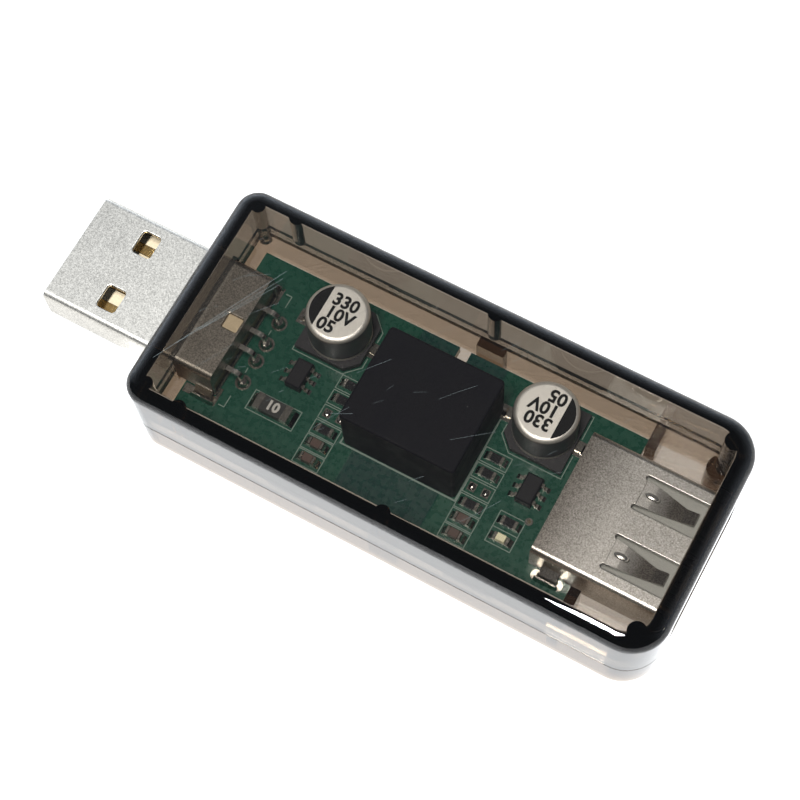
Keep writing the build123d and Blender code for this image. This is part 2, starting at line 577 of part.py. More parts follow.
with BuildPart() as esd_leads:
    for x, y in ESD:
        for row in (-0.95, 0, 0.95):
            for s in (1, -1):
                with BuildSketch(Plane.XZ.offset(-y - row - 0.2)):
                    with BuildLine():
                        Polyline(*gull_wing(x + s * 0.825, s, 0.62, PCB_TOP + 0.72, FOOT_Z, 0.13),
                                 close=True)
                    make_face()
                extrude(amount=0.4)
save(esd_leads, "esd_leads")

with BuildPart() as fuse_body:
    with BuildSketch(Plane.XY.offset(FOOT_Z)):
        with Locations((FUSE_X, FUSE_Y)):
            Rectangle(2.3, 1.6)
    extrude(amount=0.85)
save(fuse_body, "fuse_body")

with BuildPart() as fuse_terminals:
    with BuildSketch(Plane.XY.offset(FOOT_Z)):
        with Locations((FUSE_X + 1.5, FUSE_Y), (FUSE_X - 1.5, FUSE_Y)):
            Rectangle(0.7, 1.66)
    extrude(amount=0.9)
save(fuse_terminals, "fuse_terminals")

with BuildPart() as resistor_bodies:
    with BuildSketch(Plane.XY.offset(FOOT_Z)):
        with Locations(RESISTORS):
            Rectangle(1.0, 0.8)
    extrude(amount=0.45)
save(resistor_bodies, "resistor_bodies")

with BuildPart() as resistor_terminals:
    with BuildSketch(Plane.XY.offset(FOOT_Z)):
        with Locations([(x + s * 0.65, y) for x, y in RESISTORS for s in (1, -1)]):
            Rectangle(0.3, 0.82)
    extrude(amount=0.47)
save(resistor_terminals, "resistor_terminals")

with BuildPart() as ceramic_bodies:
    with BuildSketch(Plane.XY.offset(FOOT_Z)):
        with Locations(CERAMICS):
            Rectangle(0.94, 0.8)
    extrude(amount=0.78)
save(ceramic_bodies, "ceramic_bodies")

with BuildPart() as ceramic_terminals:
    with BuildSketch(Plane.XY.offset(FOOT_Z)):
        with Locations([(x + s * 0.64, y) for x, y in CERAMICS for s in (1, -1)]):
            Rectangle(0.34, 0.84)
    extrude(amount=0.82)
    chamfer(ceramic_terminals.edges().group_by(Axis.Z)[-1], 0.06)
save(ceramic_terminals, "ceramic_terminals")

with BuildPart() as led_base:
    with BuildSketch(Plane.XY.offset(FOOT_Z)):
        with Locations((LED_X, LED_Y)):
            Rectangle(1.0, 0.8)
    extrude(amount=0.25)
save(led_base, "led_base")

with BuildPart() as led_lens:
    with BuildSketch(Plane.XY.offset(FOOT_Z + 0.25)):
        with Locations((LED_X, LED_Y)):
            Rectangle(1.0, 0.78)
    extrude(amount=0.4, taper=8)
save(led_lens, "led_lens")

with BuildPart() as led_terminals:
    with BuildSketch(Plane.XY.offset(FOOT_Z)):
        with Locations((LED_X + 0.65, LED_Y), (LED_X - 0.65, LED_Y)):
            Rectangle(0.3, 0.82)
    extrude(amount=0.27)
save(led_terminals, "led_terminals")

# ---- isolator chip under the board ----------------------------------------------------------
with BuildPart() as isolator_body:
    with BuildSketch(Plane.XY.offset(FLOOR_T + 0.1)):
        with Locations((ISOL_X, ISOL_Y)):
            Rectangle(7.5, 6.2)
    extrude(amount=PCB_BOT - 0.1 - FLOOR_T - 0.1)
    chamfer(isolator_body.edges().group_by(Axis.Z)[0], 0.15)
save(isolator_body, "isolator_body")

with BuildPart() as isolator_leads:
    for i in range(8):
        for s in (1, -1):
            row = ISOL_Y + (i - 3.5) * 0.76
            with BuildSketch(Plane.XZ.offset(-row - 0.16)):
                with BuildLine():
                    Polyline(*gull_wing(ISOL_X + s * 3.75, s, 1.35, 1.9, PCB_BOT - 0.05, -0.15),
                             close=True)
                make_face()
            extrude(amount=0.32)
save(isolator_leads, "isolator_leads")


# ---- solder ---------------------------------------------------------------------------------
def wedge(x, s, z0, height, run):
    """Outline in XZ of a solder fillet leaning on a terminal face at x and spreading along s."""
    return ((x, z0), (x + s * run, z0), (x + s * run * 0.35, z0 + height * 0.4), (x, z0 + height))


fillets = [(x + s * 0.8, y, s, 0.42, 0.4, 0.8) for x, y in RESISTORS for s in (1, -1)]
fillets += [(x + s * 0.81, y, s, 0.6, 0.42, 0.82) for x, y in CERAMICS for s in (1, -1)]
fillets += [(LED_X + s * 0.8, LED_Y, s, 0.25, 0.4, 0.8) for s in (1, -1)]
fillets += [(FUSE_X + s * 1.85, FUSE_Y, s, 0.7, 0.6, 1.6) for s in (1, -1)]
feet = [(x + s * 1.445, y + row, s, PCB_TOP, 0.16, 0.28, 0.5)
        for x, y in ESD for row in (-0.95, 0, 0.95) for s in (1, -1)]
feet += [(x + s * 4.0, y, s, PCB_TOP + LAND_T, 0.24, 0.6, 1.0) for x, y, _ in CANS for s in (1, -1)]

with BuildPart() as solder_chips:
    for x, y, s, height, run, width in fillets:
        with BuildSketch(Plane.XZ.offset(-y - width / 2)):
            with BuildLine():
                Polyline(*wedge(x, s, PCB_TOP, height, run), close=True)
            make_face()
        extrude(amount=width)
save(solder_chips, "solder_chips")

with BuildPart() as solder_leads:
    for x, y, s, z0, height, run, width in feet:
        with BuildSketch(Plane.XZ.offset(-y - width / 2)):
            with BuildLine():
                Polyline(*wedge(x, s, z0, height, run), close=True)
            make_face()
        extrude(amount=width)
save(solder_leads, "solder_leads")

with BuildPart() as solder_plug:
    for y in PIN_Y:
        with BuildSketch(Plane.XY.offset(TAIL_Z + 0.15)):
            with Locations((PLUG_PIN_X, y)):
                Circle(0.45)
        extrude(amount=PCB_TOP + LAND_T - TAIL_Z - 0.15)
        with BuildSketch(Plane.XY.offset(PCB_TOP + LAND_T)):
            with Locations((PLUG_PIN_X, y)):
                Circle(0.62)
        extrude(amount=0.45, taper=25)
        with Locations((PLUG_PIN_X, y, PCB_TOP - 1)):
            Box(TAIL_T, TAIL_W, 8, mode=Mode.SUBTRACT)
save(solder_plug, "solder_plug")

with BuildPart() as solder_legs:
    for x, y0, half in ((PLUG_LEG_X, 6.4, 1.08), (SOCK_LEG_X, SOCK_LEG_Y, 1.02)):
        for side in (1, -1):
            with BuildSketch(Plane.XY.offset(PCB_TOP + LAND_T)):
                with Locations((x, side * (y0 + 0.42))):
                    RectangleRounded(2 * half + 0.5, 0.54, 0.25)
            extrude(amount=0.55, taper=20)
save(solder_legs, "solder_legs")

with BuildPart() as solder_socket:
    for y in PIN_Y:
        with Locations((SOCK_PIN_X, y, (PCB_TOP + TAIL_Z) / 2 + 0.1)):
            Cylinder(0.45, PCB_TOP - TAIL_Z - 0.3)
        with Locations((SOCK_PIN_X - 0.05, y, PCB_TOP - 1)):
            Box(0.2, 0.6, 8, mode=Mode.SUBTRACT)
    for x, y in CONV_PINS:
        with Locations((x, y, PCB_BOT - 0.2)):
            Cylinder(0.7, 0.38)
        with Locations((x, y, PCB_TOP - 1)):
            Box(0.5, 0.3, 8, mode=Mode.SUBTRACT)
save(solder_socket, "solder_socket")
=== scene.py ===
"""Looks of the USB isolator adapter: materials, printing, solder, floor, light and camera.

Lengths are written in millimetres of the part's frame and turned into metres by MM.
"""
import math
import random

import bmesh
import bpy
from mathutils import Matrix, Vector


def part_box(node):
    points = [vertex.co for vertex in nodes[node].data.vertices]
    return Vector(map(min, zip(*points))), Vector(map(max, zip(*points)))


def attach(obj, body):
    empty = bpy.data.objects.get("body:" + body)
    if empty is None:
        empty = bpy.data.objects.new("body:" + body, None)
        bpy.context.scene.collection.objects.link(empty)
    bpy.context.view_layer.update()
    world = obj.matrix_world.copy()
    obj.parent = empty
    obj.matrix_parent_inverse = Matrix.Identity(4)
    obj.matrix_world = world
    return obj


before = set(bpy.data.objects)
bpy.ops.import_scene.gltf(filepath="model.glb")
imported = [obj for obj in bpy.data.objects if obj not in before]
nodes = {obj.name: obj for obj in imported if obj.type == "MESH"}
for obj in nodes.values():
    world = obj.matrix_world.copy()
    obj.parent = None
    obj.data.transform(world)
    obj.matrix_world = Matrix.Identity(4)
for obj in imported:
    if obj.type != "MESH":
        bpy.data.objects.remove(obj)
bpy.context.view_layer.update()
MM = 0.001
BODY = "adapter"
rng = random.Random(7)


def add_object(name, data):
    """A new object with that data, linked into the scene."""
    obj = bpy.data.objects.new(name, data)
    bpy.context.scene.collection.objects.link(obj)
    return obj


# ---- places read from the frame -------------------------------------------------------------
def box_mm(node):
    """Lowest and highest corner of a CAD node, in millimetres."""
    low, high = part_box(node)
    return Vector(low) / MM, Vector(high) / MM


def solids(node):
    """(lowest, highest) corner of each separate solid of a node, in millimetres, by x then y."""
    mesh = nodes[node].data
    root = list(range(len(mesh.vertices)))

    def find(i):
        while root[i] != i:
            root[i] = root[root[i]]
            i = root[i]
        return i

    seen = {}
    for v in mesh.vertices:
        key = tuple(round(c * 1e6) for c in v.co)
        if key in seen:
            root[find(v.index)] = find(seen[key])
        seen[key] = v.index
    for e in mesh.edges:
        root[find(e.vertices[0])] = find(e.vertices[1])
    groups = {}
    for v in mesh.vertices:
        groups.setdefault(find(v.index), []).append(v.co / MM)
    boxes = []
    for points in groups.values():
        boxes.append(tuple(Vector([pick(p[k] for p in points) for k in range(3)])
                           for pick in (min, max)))
    return sorted(boxes, key=lambda b: (round(b[0].x, 1), b[0].y))


def middle(box):
    """Centre of a (lowest, highest) pair of corners."""
    return (box[0] + box[1]) / 2


BOARD_Z = box_mm("circuit_board")[1].z
plug_low, plug_high = box_mm("plug_shell")
case_low, case_high = box_mm("case_top")
cans = [middle(b) for b in solids("capacitor_cans")]
CAN_TOP = box_mm("capacitor_cans")[1].z
CAN_R = (solids("capacitor_cans")[0][1].x - solids("capacitor_cans")[0][0].x) / 2
conv_low, conv_high = box_mm("converter_case")
GOLD = (0.85, 0.58, 0.24)


# ---- materials ------------------------------------------------------------------------------
class Look:
    """A node material: its shader, and nodes that read the object's own coordinates."""

    def __init__(self, name, colour, metallic=0.0, roughness=0.5, **sockets):
        self.mat = bpy.data.materials.new(name)
        self.mat.use_nodes = True
        self.tree = self.mat.node_tree
        self.shader = self.tree.nodes["Principled BSDF"]
        self.set(Base_Color=(*colour, 1), Metallic=metallic, Roughness=roughness, **sockets)
        self.colour = (*colour, 1)
        self.place = self.node("ShaderNodeTexCoord").outputs["Object"]

    def set(self, **sockets):
        """Values of the shader's inputs, with _ for a space in a name."""
        for key, value in sockets.items():
            self.shader.inputs[key.replace("_", " ")].default_value = value

    def node(self, kind, *links, **values):
        """A new node. links go to its first inputs in order; values set inputs or properties."""
        n = self.tree.nodes.new(kind)
        for key, value in values.items():
            if hasattr(n, key):
                setattr(n, key, value)
            else:
                n.inputs[key].default_value = value
        for i, link in enumerate(links):
            if isinstance(link, (int, float, tuple)):
                n.inputs[i].default_value = link
            elif link is not None:
                self.tree.links.new(link, n.inputs[i])
        return n

    def link(self, source, socket):
        """A node's output joined to an input of the shader."""
        self.tree.links.new(source, self.shader.inputs[socket])

    def math(self, operation, a, b=0.0):
        return self.node("ShaderNodeMath", a, b, operation=operation).outputs[0]

    def noise(self, size, detail=2.0, stretch=None, rough=0.5):
        """Noise from 0 to 1 with features of that size in millimetres, stretched by axis."""
        place = self.place
        if stretch:
            place = self.node("ShaderNodeMapping", place, Scale=stretch).outputs[0]
        n = self.node("ShaderNodeTexNoise", place, Scale=1 / (size * MM), Detail=detail,
                      Roughness=rough)
        return n.outputs["Fac"]

    def cells(self, size):
        """Distance to the middle of the nearest cell, in cells of that size in millimetres."""
        n = self.node("ShaderNodeTexVoronoi", self.place, Scale=1 / (size * MM))
        return n.outputs["Distance"]

    def ranged(self, value, low, high, out_low=0.0, out_high=1.0):
        """The value moved from the range low to high onto the range out_low to out_high."""
        n = self.node("ShaderNodeMapRange", value, clamp=True)
        for i, v in enumerate((low, high, out_low, out_high)):
            n.inputs[i + 1].default_value = v
        return n.outputs[0]

    def blend(self, amount, a, b):
        """Colour a where amount is 0, b where it is 1."""
        n = self.node("ShaderNodeMix", data_type="RGBA")
        for source, i in ((amount, 0), (a, 6), (b, 7)):
            if isinstance(source, (tuple, float)):
                n.inputs[i].default_value = (*source[:3], 1) if i else source
            else:
                self.tree.links.new(source, n.inputs[i])
        return n.outputs[2]

    def shades(self, amount, spread):
        """The base colour made darker and lighter by that share as amount goes from 0 to 1."""
        dark = tuple(c * (1 - spread) for c in self.colour[:3])
        light = tuple(min(c * (1 + spread), 1) for c in self.colour[:3])
        return self.blend(amount, dark, light)

    def bump(self, height, depth):
        """Relief of that depth in millimetres on the shader's normal."""
        n = self.node("ShaderNodeBump", Strength=1.0, Distance=depth * MM)
        self.tree.links.new(height, n.inputs["Height"])
        self.link(n.outputs[0], "Normal")

    def axis(self, name):
        """One object coordinate in millimetres."""
        n = self.node("ShaderNodeSeparateXYZ", self.place)
        return self.math("MULTIPLY", n.outputs[name], 1 / MM)

    def facing(self, name):
        """One component of the surface's own normal."""
        geometry = self.node("ShaderNodeTexCoord").outputs["Normal"]
        return self.node("ShaderNodeSeparateXYZ", geometry).outputs[name]


MOULD_RELIEF = 0.004             # depth of the texture of moulded plastic


def moulded(name, colour, roughness, grain=0.25, spread=0.18, **sockets):
    """Moulded plastic: fine texture, uneven tone and a few dusty specks."""
    k = Look(name, colour, roughness=roughness, **sockets)
    fine = k.noise(grain, 3)
    tone = k.noise(3.0, 3)
    k.link(k.shades(k.math("ADD", k.math("MULTIPLY", fine, 0.5), k.math("MULTIPLY", tone, 0.5)),
                    spread), "Base Color")
    k.link(k.ranged(fine, 0.3, 0.7, roughness * 0.85, min(roughness * 1.15, 1)), "Roughness")
    k.bump(fine, MOULD_RELIEF)
    return k.mat


def plated(name, colour, roughness, grain, contrast, depth, gilt_below=None, painted_shade=None):
    """Plated sheet metal with a crystalline grain. It can be gilded below one x position, and
    darkened with painted shade by an amount running from the third to the fourth value between two
    x positions."""
    k = Look(name, colour, metallic=1.0, roughness=roughness)
    fine = k.noise(grain, 1, rough=0.6)
    broad = k.noise(2.2, 3)
    tone = k.math("ADD", k.math("MULTIPLY", k.ranged(fine, 0.25, 0.75), 0.8),
                  k.math("MULTIPLY", broad, 0.2))
    metal = k.shades(tone, contrast)
    if gilt_below is not None:
        metal = k.blend(k.ranged(k.axis("X"), gilt_below, gilt_below + 0.2), GOLD, metal)
    if painted_shade is not None:
        # painted shade: a dark copy of the grain, blended in between two x positions
        shade_tone = k.blend(k.ranged(fine, 0.35, 0.65), (0.035, 0.028, 0.022), (0.20, 0.17, 0.14))
        metal = k.blend(k.ranged(k.axis("X"), *painted_shade), metal, shade_tone)
    k.link(metal, "Base Color")
    k.link(k.ranged(k.noise(grain * 1.7, 1), 0.3, 0.7, roughness * 0.95, roughness * 1.05),
           "Roughness")
    k.bump(fine, depth)
    return k.mat


def smoke_plastic(name, tint_colour):
    """Clear smoked plastic. Light from the lamps crosses it straight; the eye sees it bent."""
    k = Look(name, (1, 1, 1), roughness=0.0, IOR=1.5, Transmission_Weight=1.0)
    swirl = k.noise(9.0, 1)
    k.bump(swirl, 0.004)
    tint = k.node("ShaderNodeVolumeAbsorption", Color=(*tint_colour, 1), Density=2500.0)
    out = k.tree.nodes["Material Output"]
    k.tree.links.new(tint.outputs[0], out.inputs["Volume"])
    straight = k.node("ShaderNodeBsdfTransparent", Color=(0.96, 0.96, 0.96, 1)).outputs[0]
    path = k.node("ShaderNodeLightPath").outputs
    bent = k.shader.outputs[0]

    def chosen(fac, no, yes):
        n = k.node("ShaderNodeMixShader")
        for i, source in enumerate((fac, no, yes)):
            k.tree.links.new(source, n.inputs[i])
        return n.outputs[0]

    rough_bounce = chosen(path["Is Singular Ray"], straight, bent)
    after_gloss = chosen(path["Is Glossy Ray"], bent, rough_bounce)
    after_matte = chosen(path["Is Diffuse Ray"], after_gloss, straight)
    k.tree.links.new(chosen(path["Is Shadow Ray"], after_matte, straight), out.inputs["Surface"])
    return k.mat


# along x, where the copper stops and starts again on either side of the isolation gap
COPPER_STOPS, COPPER_STARTS = (-7.1, -6.95), (2.2, 2.35)
WEAVE = 9.0                      # glass weave, radians per millimetre


def board_look():
    """Green solder mask over copper pours, bare glass-fibre at the cut edges."""
    k = Look("board_green", (0.005, 0.064, 0.040), roughness=0.28, Coat_Weight=0.35,
             Coat_Roughness=0.12)
    x, y = k.axis("X"), k.axis("Y")
    gap = k.math("MULTIPLY", k.ranged(x, *COPPER_STOPS), k.ranged(x, *COPPER_STARTS, 1, 0))
    weave = k.math("ADD", k.math("SINE", k.math("MULTIPLY", x, WEAVE)),
                   k.math("SINE", k.math("MULTIPLY", y, WEAVE)))
    mottle = k.noise(0.5, 4)
    pour = k.shades(mottle, 0.25)
    bare = k.blend(k.ranged(weave, -2, 2), (0.003, 0.034, 0.030), (0.005, 0.046, 0.036))
    mask = k.blend(gap, pour, bare)
    up = k.math("ABSOLUTE", k.facing("Z"))
    edge = k.blend(k.noise(0.3, 3, stretch=(1, 1, 6)), (0.24, 0.20, 0.09), (0.36, 0.33, 0.16))
    k.link(k.blend(k.ranged(up, 0.4, 0.6), edge, mask), "Base Color")
    k.link(k.ranged(mottle, 0.3, 0.7, 0.22, 0.36), "Roughness")
    k.bump(k.math("SUBTRACT", k.math("MULTIPLY", mottle, 0.3), gap), 0.02)
    return k.mat


def can_look():
    """Satin aluminium: lengthwise drawing lines on the wall, soft grain on the top. The wall is
    painted much darker than the top as painted shade.
    """
    k = Look("can_aluminium", (0.84, 0.83, 0.80), metallic=0.87, roughness=0.46)
    fine = k.noise(0.12, 3, rough=0.6)
    drawn = k.noise(0.22, 3, stretch=(1, 1, 0.08))
    metal = k.shades(k.math("ADD", k.math("MULTIPLY", fine, 0.55),
                            k.math("MULTIPLY", drawn, 0.45)), 0.2)
    # painted shade: faces that do not point up or down get a near-black colour
    up = k.ranged(k.math("ABSOLUTE", k.facing("Z")), 0.2, 0.6)
    k.link(k.blend(up, (0.17, 0.17, 0.19), metal), "Base Color")
    k.link(k.ranged(fine, 0.3, 0.7, 0.42, 0.52), "Roughness")
    k.bump(fine, 0.003)
    return k.mat


def converter_look():
    """Matt black potted box with rub marks and pale specks."""
    k = Look("converter_black", (0.012, 0.012, 0.018), roughness=0.62,
             Specular_IOR_Level=0.12)
    fine = k.noise(0.16, 4, rough=0.6)
    cloud = k.noise(2.8, 4)
    speck = k.ranged(k.cells(0.9), 0.02, 0.035, 1, 0)
    speck = k.math("MULTIPLY", speck, k.ranged(k.noise(1.6, 1), 0.58, 0.6))
    base = k.blend(k.math("ADD", k.math("MULTIPLY", fine, 0.5), k.math("MULTIPLY", cloud, 0.5)),
                   (0.0015, 0.0015, 0.003), (0.010, 0.010, 0.016))
    k.link(k.blend(speck, base, (0.22, 0.22, 0.24)), "Base Color")
    k.link(k.ranged(cloud, 0.3, 0.7, 0.5, 0.72), "Roughness")
    k.bump(fine, 0.02)
    return k.mat


def soldered():
    """Bright solder with faint ripples."""
    k = Look("solder", (0.60, 0.58, 0.55), metallic=1.0, roughness=0.1)
    ripple = k.noise(0.25, 2)
    k.link(k.shades(ripple, 0.18), "Base Color")
    k.link(k.ranged(ripple, 0.3, 0.7, 0.06, 0.16), "Roughness")
    k.bump(ripple, 0.05)
    return k.mat


smoke = smoke_plastic("smoke_plastic", (0.68, 0.645, 0.60))
light_smoke = smoke_plastic("smoke_plastic_lower", (0.752, 0.696, 0.628))
solder = soldered()
SHADE_FROM_END = 1.2           # the plug shell is left unshaded up to this far inside the end of the case
plug_wall = case_low.x + SHADE_FROM_END
# Painted shade darkens the plug shell inside the case, beyond that point.
plug_nickel = plated("plug_nickel", (0.65, 0.62, 0.56), 0.36, 0.11, 0.50, 0.0004,
                     painted_shade=(plug_wall, plug_wall + 1.0, 0.0, 0.68))
socket_back = box_mm("socket_shell")[0].x
# Painted shade darkens the back of the socket shell, fading out over 5.5 mm towards the mouth.
socket_nickel = plated("socket_nickel", (0.76, 0.72, 0.64), 0.36, 0.11, 0.60, 0.0004,
                       painted_shade=(socket_back, socket_back + 5.5, 0.76, 0.0))
spring_root = box_mm("spring_top_near")[0].x
# The springs get a brighter copy of the socket's nickel: bright at the root as painted highlight,
# darkened along the finger as painted shade.
spring = plated("spring_nickel", (0.95, 0.92, 0.84), 0.34, 0.11, 0.50, 0.0004,
                painted_shade=(spring_root + 0.8, spring_root + 3.2, 0.0, 0.85))
tin = plated("tin", (0.62, 0.59, 0.53), 0.20, 0.22, 0.25, 0.010)
gold = plated("contact_gold", GOLD, 0.24, 0.15, 0.12, 0.004)
tails = plated("contact_tin", (0.72, 0.70, 0.66), 0.24, 0.15, 0.15, 0.004, plug_low.x + 10.5)
ink_white = moulded("print_white", (0.20, 0.27, 0.24), 0.6, spread=0.12)
ink_black = moulded("print_black", (0.003, 0.003, 0.004), 0.55, spread=0.2,
                    Specular_IOR_Level=0.2)
LOOKS = {
    "case_top": smoke, "case_bottom": light_smoke,
    "circuit_board": board_look(),
    "board_lands": tin, "capacitor_leads": tin, "converter_pins": tin, "esd_leads": tin,
    "fuse_terminals": tin, "isolator_leads": tin, "led_terminals": tin,
    "resistor_terminals": tin, "ceramic_terminals": tin,
    "plug_shell": plug_nickel, "socket_shell": socket_nickel, "spring_top_far": spring,
    "spring_top_near": spring, "spring_bottom_far": spring, "spring_bottom_near": spring,
    "plug_insulator": moulded("plug_plastic", (0.56, 0.46, 0.31), 0.42),
    "socket_insulator": moulded("socket_plastic", (0.40, 0.41, 0.39), 0.45),
    "plug_contacts": tails, "socket_contact_beams": gold, "socket_contact_tails": tin,
    "converter_case": converter_look(),
    "converter_potting": moulded("potting", (0.016, 0.016, 0.018), 0.3, grain=0.6),
    "capacitor_cans": can_look(),
    "capacitor_bungs": moulded("bung_rubber", (0.02, 0.02, 0.02), 0.75),
    "capacitor_bases": moulded("base_black", (0.012, 0.012, 0.016), 0.5),
    "esd_bodies": moulded("chip_black", (0.010, 0.010, 0.013), 0.5, grain=0.12,
                          Specular_IOR_Level=0.25),
    "isolator_body": moulded("chip_black_large", (0.014, 0.014, 0.016), 0.45, grain=0.12),
    "fuse_body": moulded("fuse_black", (0.02, 0.022, 0.022), 0.4),
    "resistor_bodies": moulded("resistor_black", (0.012, 0.012, 0.014), 0.25),
    "ceramic_bodies": moulded("ceramic_tan", (0.085, 0.055, 0.045), 0.35),
    "led_base": moulded("led_white", (0.72, 0.72, 0.66), 0.4),
    "led_lens": moulded("led_lens", (0.95, 0.88, 0.62), 0.12),
}
for part in ("solder_chips", "solder_leads", "solder_plug", "solder_legs", "solder_socket"):
    LOOKS[part] = solder
for part, look in LOOKS.items():
    slots = nodes[part].material_slots
    for slot in slots:
        slot.material = look
    if not slots:
        nodes[part].data.materials.append(look)


# ---- Blender pieces -------------------------------------------------------------------------
def piece(name, bm, material, body=BODY):
    """A finished mesh piece riding on a body. bm is in millimetres."""
    mesh = bpy.data.meshes.new(name)
    bmesh.ops.recalc_face_normals(bm, faces=bm.faces)
    bm.to_mesh(mesh)
    bm.free()
    mesh.transform(Matrix.Scale(MM, 4))
    mesh.materials.append(material)
    obj = add_object(name, mesh)
    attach(obj, body)


def strip(bm, points, width, z, thick=0.02, closed=False):
    """A flat printed line along points (x, y), mitred at its corners."""
    pts = [Vector(p) for p in points]
    count = len(pts)
    rings = []
    for i, p in enumerate(pts):
        before = pts[i - 1] if closed or i else None
        after = pts[(i + 1) % count] if closed or i < count - 1 else None
        a = (p - before).normalized() if before is not None else (after - p).normalized()
        b = (after - p).normalized() if after is not None else a
        side = Vector((-(a + b).y, (a + b).x)).normalized()
        reach = width / 2 / max(side.dot(Vector((-a.y, a.x))), 0.3)
        ring = [bm.verts.new((*(p + side * reach * s), h))
                for s, h in ((1, z), (1, z + thick), (-1, z + thick), (-1, z))]
        rings.append(ring)
    last = count if closed else count - 1
    for i in range(last):
        r, q = rings[i], rings[(i + 1) % count]
        for j in range(4):
            bm.faces.new((r[j], r[(j + 1) % 4], q[(j + 1) % 4], q[j]))
    if not closed:
        bm.faces.new(rings[0])
        bm.faces.new(rings[-1][::-1])


def rectangle(cx, cy, length, width):
    """Corners (x, y) of a rectangle round a centre."""
    return [(cx + sx * length / 2, cy + sy * width / 2)
            for sx, sy in ((-1, -1), (1, -1), (1, 1), (-1, 1))]


# widths of the printed lines, and length by width of the outlines
PEN, HEAVY_PEN = 0.09, 0.16
CHIP_OUTLINE, FUSE_OUTLINE, LED_OUTLINE = (2.75, 1.5), (5.1, 2.15), (2.6, 3.3)
LED_SHIFT = 0.9                  # from the LED to the middle of its outline
CONVERTER_MARGIN = 0.3


def silkscreen():
    """White outlines printed round the parts."""
    bm = bmesh.new()
    z, pen = BOARD_Z, PEN
    chips = solids("resistor_bodies") + solids("ceramic_bodies")
    lands = [middle(b) for b in solids("board_lands")]
    bare = [(a + b) / 2 for a in lands for b in lands
            if 1.2 < b.x - a.x < 1.6 and abs(a.y - b.y) < 0.01]
    led = middle(box_mm("led_base"))
    for c in [middle(b) for b in chips] + bare:
        if abs(c.x - led.x) < 0.1:
            continue
        strip(bm, rectangle(c.x, c.y, *CHIP_OUTLINE), pen, z, closed=True)
    fuse = middle(box_mm("fuse_body"))
    strip(bm, rectangle(fuse.x, fuse.y, *FUSE_OUTLINE), pen, z, closed=True)
    strip(bm, rectangle(led.x, led.y + LED_SHIFT, *LED_OUTLINE), pen, z, closed=True)
    strip(bm, [(led.x - 1.3, led.y + 0.85), (led.x + 1.3, led.y + 0.85)], pen, z)
    # outline behind the plug, broken at the pads
    pins = [b for b in lands if abs(b.x - plug_high.x - 1.6) < 0.3]
    x = plug_high.x + 1.25
    tall = max(b.y for b in pins) + 3.05
    for side in (1, -1):
        strip(bm, [(x - 0.65, side * tall), (x, side * tall), (x, side * (tall - 1.3))], pen, z)
        strip(bm, [(x, side * 2.55), (x, side * 1.95)], pen, z)
    # capacitor outlines, open where the leads pass
    for c, side in zip(cans, (1, -1)):
        half, cut, gap = 3.5, 1.45, 0.95
        for s in (1, -1):
            strip(bm, [(c.x - side * half, c.y + s * gap), (c.x - side * half, c.y + s * half),
                       (c.x + side * (half - cut), c.y + s * half),
                       (c.x + side * half, c.y + s * (half - cut)),
                       (c.x + side * half, c.y + s * gap)], pen, z)
    # converter outline
    mid = (conv_low + conv_high) / 2
    size = conv_high - conv_low
    strip(bm, rectangle(mid.x, mid.y, size.x + CONVERTER_MARGIN, size.y + CONVERTER_MARGIN),
          HEAVY_PEN, z, closed=True)
    piece("silkscreen", bm, ink_white)


EMPTY_PAD = (0.8, 0.9)


def bare_solder():
    """Low domes of solder left on the empty chip pads."""
    bm = bmesh.new()
    for pad in solids("board_lands"):
        at, size = middle(pad), pad[1] - pad[0]
        if abs(size.x - EMPTY_PAD[0]) < 0.05 and abs(size.y - EMPTY_PAD[1]) < 0.05:
            dome = Matrix.Translation((at.x, at.y, pad[1].z)) @ Matrix.Diagonal(
                (size.x * 0.42, size.y * 0.42, 0.16, 1))
            bmesh.ops.create_uvsphere(bm, u_segments=20, v_segments=12, radius=1, matrix=dome)
    piece("bare_pad_solder", bm, solder)


DIMPLE_FROM_ROOT = 1.0
DIMPLE_HALF = (0.72, 0.34, 0.17)
DIMPLE_SUNK = 0.05               # centre of the crown below the top of the spring


def spring_dimples():
    """The polished crown of the stiffening dimple at the root of each upper spring."""
    # Crown in the springs' brightened nickel, a painted highlight at the root.
    crown = plated("dimple_nickel", (0.95, 0.92, 0.84), 0.2, 0.11, 0.2, 0.0004)
    for body in ("spring_top_far", "spring_top_near"):
        low, high = box_mm(body)
        bm = bmesh.new()
        place = Matrix.Translation((low.x + DIMPLE_FROM_ROOT, (low.y + high.y) / 2,
                                    high.z - DIMPLE_SUNK))
        bmesh.ops.create_uvsphere(bm, u_segments=32, v_segments=16, radius=1,
                                  matrix=place @ Matrix.Diagonal((*DIMPLE_HALF, 1)))
        piece(body + "_dimple", bm, crown, body)


FONT_PER_HEIGHT = 1.38           # font size over the height of a capital


def lettering(name, text, x, y, z, height, turn, material):
    """Flat printed characters centred on a point."""
    curve = bpy.data.curves.new(name, "FONT")
    curve.body = text
    curve.align_x = "CENTER"
    curve.align_y = "CENTER"
    curve.size = height * MM * FONT_PER_HEIGHT
    curve.extrude = 0.004 * MM
    curve.offset = 0.06 * MM
    curve.resolution_u = 3
    maker = add_object(name, curve)
    bpy.context.view_layer.update()
    graph = bpy.context.evaluated_depsgraph_get()
    mesh = bpy.data.meshes.new_from_object(maker.evaluated_get(graph))
    bpy.data.objects.remove(maker)
    mesh.transform(Matrix.Translation((x * MM, y * MM, z * MM)) @ Matrix.Rotation(turn, 4, "Z"))
    mesh.materials.clear()
    mesh.materials.append(material)
    obj = add_object(name, mesh)
    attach(obj, BODY)


